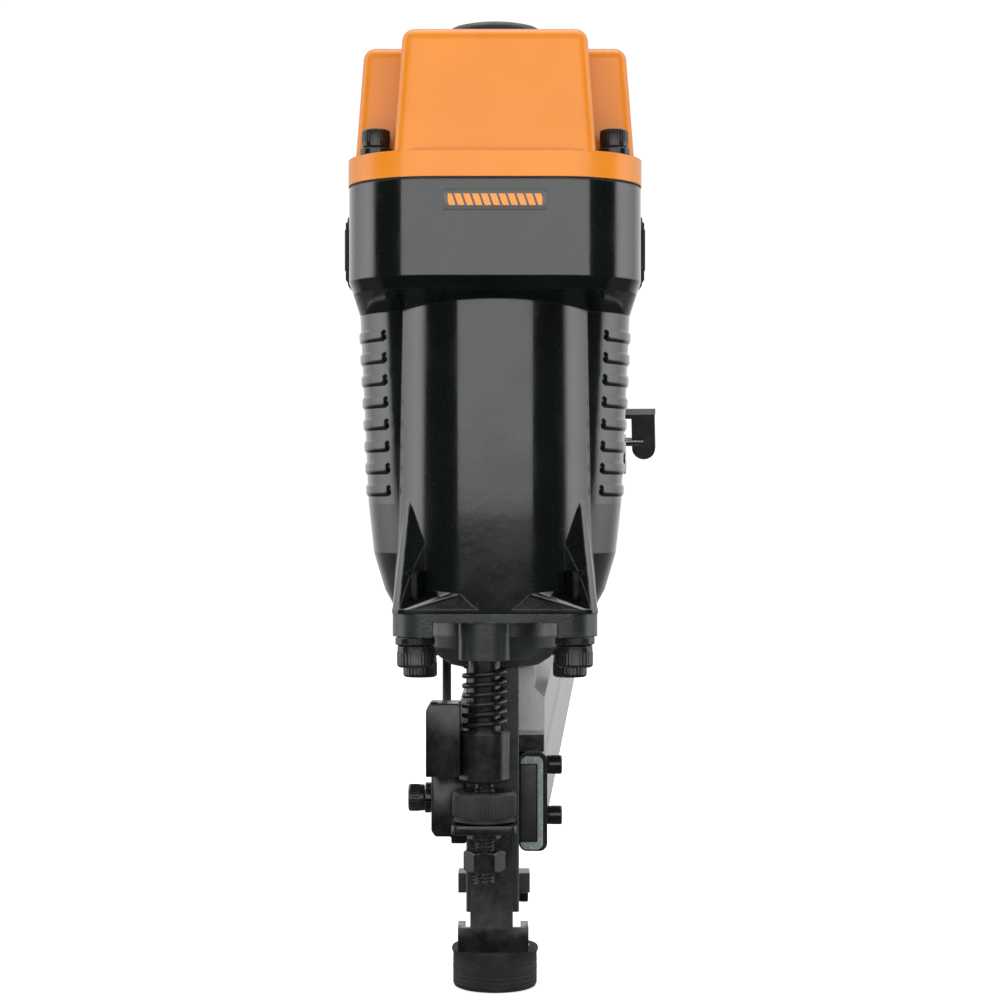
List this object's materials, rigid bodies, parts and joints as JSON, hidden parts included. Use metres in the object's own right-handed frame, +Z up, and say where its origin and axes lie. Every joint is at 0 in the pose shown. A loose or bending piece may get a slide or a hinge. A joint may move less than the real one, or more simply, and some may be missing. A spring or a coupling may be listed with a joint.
{
  "type": "pneumatic framing nailer",
  "caption": "Air-powered framing nailer with a round head, straight handle, slanted side magazine and a sprung contact foot with a depth wheel.",
  "frame": {"origin": "point on the drive axis in the bottom plane of the nose pad, where the nail enters the work", "axes": "+Z up along the drive axis towards the cap, +Y back along the handle, +X towards the side that the magazine slants to"},
  "size_m": [0.1411, 0.4772, 0.354],
  "materials": {
    "orange_paint": "gloss enamel",
    "black_paint": "gloss enamel",
    "dark_casting": "satin coated casting",
    "black_rubber": "matt",
    "label_film": "satin film",
    "aluminium": "extruded, satin",
    "bright_steel": "ground",
    "brass": "machined",
    "grey_band": "satin",
    "black_plastic": "satin",
    "black_steel": "black oxide"
  },
  "bodies": {
    "frame": {"air_inlet_cap": "black_paint", "air_plug": "bright_steel", "cap_gasket": "black_rubber", "cap_screws": "black_steel", "cap_spring_washers": "black_steel", "cylinder_cap": "orange_paint", "cylinder_sleeve": "aluminium", "deflector_screw": "black_steel", "front_band": "grey_band", "front_frame_screws": "black_steel", "front_insert": "black_plastic", "handle_grip": "black_rubber", "inlet_cap_screws": "black_steel", "label_plate": "label_film", "latch_screw": "black_steel", "latch_washer": "black_steel", "magazine_body": "aluminium", "magazine_front_frame": "black_steel", "magazine_rear_cap": "orange_paint", "main_housing": "black_paint", "nail_track": "bright_steel", "nose_bolts": "black_steel", "nose_latch_block": "black_steel", "nose_side_screw": "black_steel", "nose_spring_washers": "black_steel", "nosepiece": "dark_casting", "piston_bumper": "black_rubber", "piston_stop": "black_rubber", "rear_bracket": "black_steel", "rear_bracket_bolts": "black_steel", "side_pads": "black_rubber", "trigger_pin": "bright_steel", "trigger_valve_body": "brass"},
    "exhaust": {"exhaust_deflector": "black_plastic"},
    "piston": {"drive_piston": "bright_steel", "piston_ring": "black_rubber", "driver_blade": "bright_steel"},
    "valve": {"head_valve": "black_plastic", "head_valve_spring": "black_steel"},
    "trigger_lever": {"trigger": "black_steel", "trip_lever": "black_steel"},
    "stem": {"trigger_valve_stem": "bright_steel"},
    "safety": {"safety_rod": "black_steel", "safety_link": "black_steel", "safety_spring": "black_steel", "lock_nut": "black_steel"},
    "foot": {"contact_foot": "black_steel", "nose_pad": "black_rubber", "lock_washer": "black_steel"},
    "wheel": {"depth_wheel": "black_plastic"},
    "pusher": {"nail_pusher": "black_steel", "pusher_arm": "bright_steel", "pusher_lever": "black_plastic"}
  },
  "joints": [
    {"name": "deflector_turn", "type": "hinge", "parent": "frame", "child": "exhaust", "pos_m": [0, 0, 0.35], "axis": [0, 0, 1], "continuous": true},
    {"name": "piston_stroke", "type": "slide", "parent": "frame", "child": "piston", "axis": [0, 0, -1], "range_m": [0, 0.108]},
    {"name": "head_valve_lift", "type": "slide", "parent": "frame", "child": "valve", "axis": [0, 0, 1], "range_m": [0, 0.006], "stiffness_N_per_m": 1500, "springref_m": -0.004, "deforming": ["head_valve_spring"]},
    {"name": "trigger_pull", "type": "hinge", "parent": "frame", "child": "trigger_lever", "pos_m": [0, 0.061, 0.208], "axis": [1, 0, 0], "range_deg": [0, 10], "stiffness_Nm_per_rad": 0.6, "springref_deg": -20.05},
    {"name": "valve_stem_push", "type": "slide", "parent": "frame", "child": "stem", "axis": [0, 0, 1], "range_m": [0, 0.0034]},
    {"name": "safety_press", "type": "slide", "parent": "frame", "child": "safety", "axis": [0, 0, 1], "range_m": [0, 0.008], "stiffness_N_per_m": 2000, "springref_m": -0.025, "deforming": ["safety_spring"]},
    {"name": "foot_adjust", "type": "slide", "parent": "safety", "child": "foot", "axis": [0, 0, 1], "range_m": [-0.0035, 0.0028]},
    {"name": "depth_wheel_turn", "type": "hinge", "parent": "foot", "child": "wheel", "pos_m": [-0.0038, -0.027, 0.07], "axis": [0, 0, 1], "range_deg": [-1010, 808]},
    {"name": "pusher_run", "type": "slide", "parent": "frame", "child": "pusher", "axis": [-0.117, -0.9262, -0.3584], "range_m": [0, 0.34]}
  ],
  "couplings": [
    {"joint": "valve_stem_push", "follows": "trigger_pull", "m_per_rad": 0.019},
    {"joint": "depth_wheel_turn", "follows": "foot_adjust", "rad_per_m": 5026.5}
  ]
}
